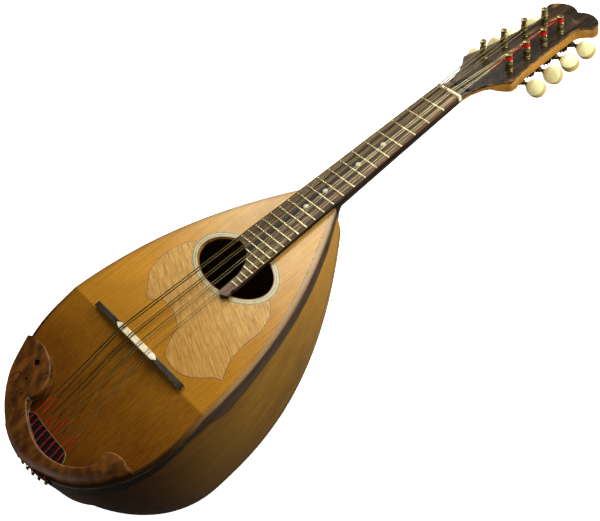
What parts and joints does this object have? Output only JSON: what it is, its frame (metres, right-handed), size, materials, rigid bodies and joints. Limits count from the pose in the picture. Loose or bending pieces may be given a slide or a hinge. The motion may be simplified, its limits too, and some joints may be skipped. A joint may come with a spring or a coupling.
{
  "type": "bowl-back mandolin",
  "caption": "Round-backed plucked mandolin with a bent soundboard, oval soundhole, paired strings and geared tuning machines that turn.",
  "frame": {"origin": "centre of the bounding box's underside", "axes": "+Y from the tail to the head along the strings, +Z out of the soundboard, +X to the treble side"},
  "size_m": [0.185, 0.6124, 0.1677],
  "materials": {
    "spruce": "satin",
    "rib_walnut": "satin",
    "dark_walnut": "satin",
    "maple": "satin",
    "rosewood": "satin",
    "ebony": "satin",
    "burl": "satin",
    "light_inlay": "satin",
    "wavy_inlay": "satin",
    "ivory": "satin",
    "aged_brass": "worn",
    "dark_brass": "tarnished",
    "string_brass": "bright",
    "steel": "worn",
    "felt": "matte"
  },
  "bodies": {
    "instrument": {"soundboard": "spruce", "bowl": "rib_walnut", "rosette": "light_inlay", "scratchplate": "wavy_inlay", "string_pad": "ebony", "side_band": "dark_walnut", "neck": "maple", "headstock_face": "rosewood", "fingerboard": "rosewood", "nut": "ivory", "damper_strip": "felt", "bridge": "ebony", "saddle": "ivory", "hand_rest": "burl", "tail_clasp": "dark_brass", "neck_block": "spruce", "tail_block": "spruce", "brace": "spruce", "tuner_plate_bass": "dark_brass", "tuner_plate_treble": "dark_brass", "string_1": "string_brass", "string_2": "string_brass", "string_3": "string_brass", "string_4": "string_brass", "string_5": "string_brass", "string_6": "string_brass", "string_7": "string_brass", "string_8": "string_brass"},
    "knob_bass_1": {"worm_shaft_bass_1": "steel", "button_bass_1": "ivory"},
    "winder_bass_1": {"post_bass_1": "aged_brass", "gear_bass_1": "dark_brass"},
    "knob_bass_2": {"worm_shaft_bass_2": "steel", "button_bass_2": "ivory"},
    "winder_bass_2": {"post_bass_2": "aged_brass", "gear_bass_2": "dark_brass"},
    "knob_bass_3": {"worm_shaft_bass_3": "steel", "button_bass_3": "ivory"},
    "winder_bass_3": {"post_bass_3": "aged_brass", "gear_bass_3": "dark_brass"},
    "knob_bass_4": {"worm_shaft_bass_4": "steel", "button_bass_4": "ivory"},
    "winder_bass_4": {"post_bass_4": "aged_brass", "gear_bass_4": "dark_brass"},
    "knob_treble_1": {"worm_shaft_treble_1": "steel", "button_treble_1": "ivory"},
    "winder_treble_1": {"post_treble_1": "aged_brass", "gear_treble_1": "dark_brass"},
    "knob_treble_2": {"worm_shaft_treble_2": "steel", "button_treble_2": "ivory"},
    "winder_treble_2": {"post_treble_2": "aged_brass", "gear_treble_2": "dark_brass"},
    "knob_treble_3": {"worm_shaft_treble_3": "steel", "button_treble_3": "ivory"},
    "winder_treble_3": {"post_treble_3": "aged_brass", "gear_treble_3": "dark_brass"},
    "knob_treble_4": {"worm_shaft_treble_4": "steel", "button_treble_4": "ivory"},
    "winder_treble_4": {"post_treble_4": "aged_brass", "gear_treble_4": "dark_brass"}
  },
  "joints": [
    {"name": "knob_bass_1_turn", "type": "hinge", "parent": "instrument", "child": "knob_bass_1", "pos_m": [-0.01431, 0.20773, 0.1347], "axis": [-0.9963, 0.0846, -0.0129], "continuous": true},
    {"name": "winder_bass_1_turn", "type": "hinge", "parent": "instrument", "child": "winder_bass_1", "pos_m": [-0.0151, 0.20096, 0.15101], "axis": [0, 0.1513, 0.9885], "continuous": true},
    {"name": "knob_bass_2_turn", "type": "hinge", "parent": "instrument", "child": "knob_bass_2", "pos_m": [-0.01235, 0.23037, 0.13124], "axis": [-0.9963, 0.0846, -0.0129], "continuous": true},
    {"name": "winder_bass_2_turn", "type": "hinge", "parent": "instrument", "child": "winder_bass_2", "pos_m": [-0.01313, 0.22359, 0.14755], "axis": [0, 0.1513, 0.9885], "continuous": true},
    {"name": "knob_bass_3_turn", "type": "hinge", "parent": "instrument", "child": "knob_bass_3", "pos_m": [-0.01038, 0.25301, 0.12777], "axis": [-0.9963, 0.0846, -0.0129], "continuous": true},
    {"name": "winder_bass_3_turn", "type": "hinge", "parent": "instrument", "child": "winder_bass_3", "pos_m": [-0.01117, 0.24623, 0.14408], "axis": [0, 0.1513, 0.9885], "continuous": true},
    {"name": "knob_bass_4_turn", "type": "hinge", "parent": "instrument", "child": "knob_bass_4", "pos_m": [-0.00841, 0.27564, 0.12431], "axis": [-0.9963, 0.0846, -0.0129], "continuous": true},
    {"name": "winder_bass_4_turn", "type": "hinge", "parent": "instrument", "child": "winder_bass_4", "pos_m": [-0.0092, 0.26887, 0.14062], "axis": [0, 0.1513, 0.9885], "continuous": true},
    {"name": "knob_treble_1_turn", "type": "hinge", "parent": "instrument", "child": "knob_treble_1", "pos_m": [0.01431, 0.20773, 0.1347], "axis": [0.9963, 0.0846, -0.0129], "continuous": true},
    {"name": "winder_treble_1_turn", "type": "hinge", "parent": "instrument", "child": "winder_treble_1", "pos_m": [0.0151, 0.20096, 0.15101], "axis": [0, 0.1513, 0.9885], "continuous": true},
    {"name": "knob_treble_2_turn", "type": "hinge", "parent": "instrument", "child": "knob_treble_2", "pos_m": [0.01235, 0.23037, 0.13124], "axis": [0.9963, 0.0846, -0.0129], "continuous": true},
    {"name": "winder_treble_2_turn", "type": "hinge", "parent": "instrument", "child": "winder_treble_2", "pos_m": [0.01313, 0.22359, 0.14755], "axis": [0, 0.1513, 0.9885], "continuous": true},
    {"name": "knob_treble_3_turn", "type": "hinge", "parent": "instrument", "child": "knob_treble_3", "pos_m": [0.01038, 0.25301, 0.12777], "axis": [0.9963, 0.0846, -0.0129], "continuous": true},
    {"name": "winder_treble_3_turn", "type": "hinge", "parent": "instrument", "child": "winder_treble_3", "pos_m": [0.01117, 0.24623, 0.14408], "axis": [0, 0.1513, 0.9885], "continuous": true},
    {"name": "knob_treble_4_turn", "type": "hinge", "parent": "instrument", "child": "knob_treble_4", "pos_m": [0.00841, 0.27564, 0.12431], "axis": [0.9963, 0.0846, -0.0129], "continuous": true},
    {"name": "winder_treble_4_turn", "type": "hinge", "parent": "instrument", "child": "winder_treble_4", "pos_m": [0.0092, 0.26887, 0.14062], "axis": [0, 0.1513, 0.9885], "continuous": true}
  ],
  "couplings": [
    {"joint": "winder_bass_1_turn", "follows": "knob_bass_1_turn", "ratio": -0.071429},
    {"joint": "winder_bass_2_turn", "follows": "knob_bass_2_turn", "ratio": -0.071429},
    {"joint": "winder_bass_3_turn", "follows": "knob_bass_3_turn", "ratio": -0.071429},
    {"joint": "winder_bass_4_turn", "follows": "knob_bass_4_turn", "ratio": -0.071429},
    {"joint": "winder_treble_1_turn", "follows": "knob_treble_1_turn", "ratio": 0.071429},
    {"joint": "winder_treble_2_turn", "follows": "knob_treble_2_turn", "ratio": 0.071429},
    {"joint": "winder_treble_3_turn", "follows": "knob_treble_3_turn", "ratio": 0.071429},
    {"joint": "winder_treble_4_turn", "follows": "knob_treble_4_turn", "ratio": 0.071429}
  ]
}
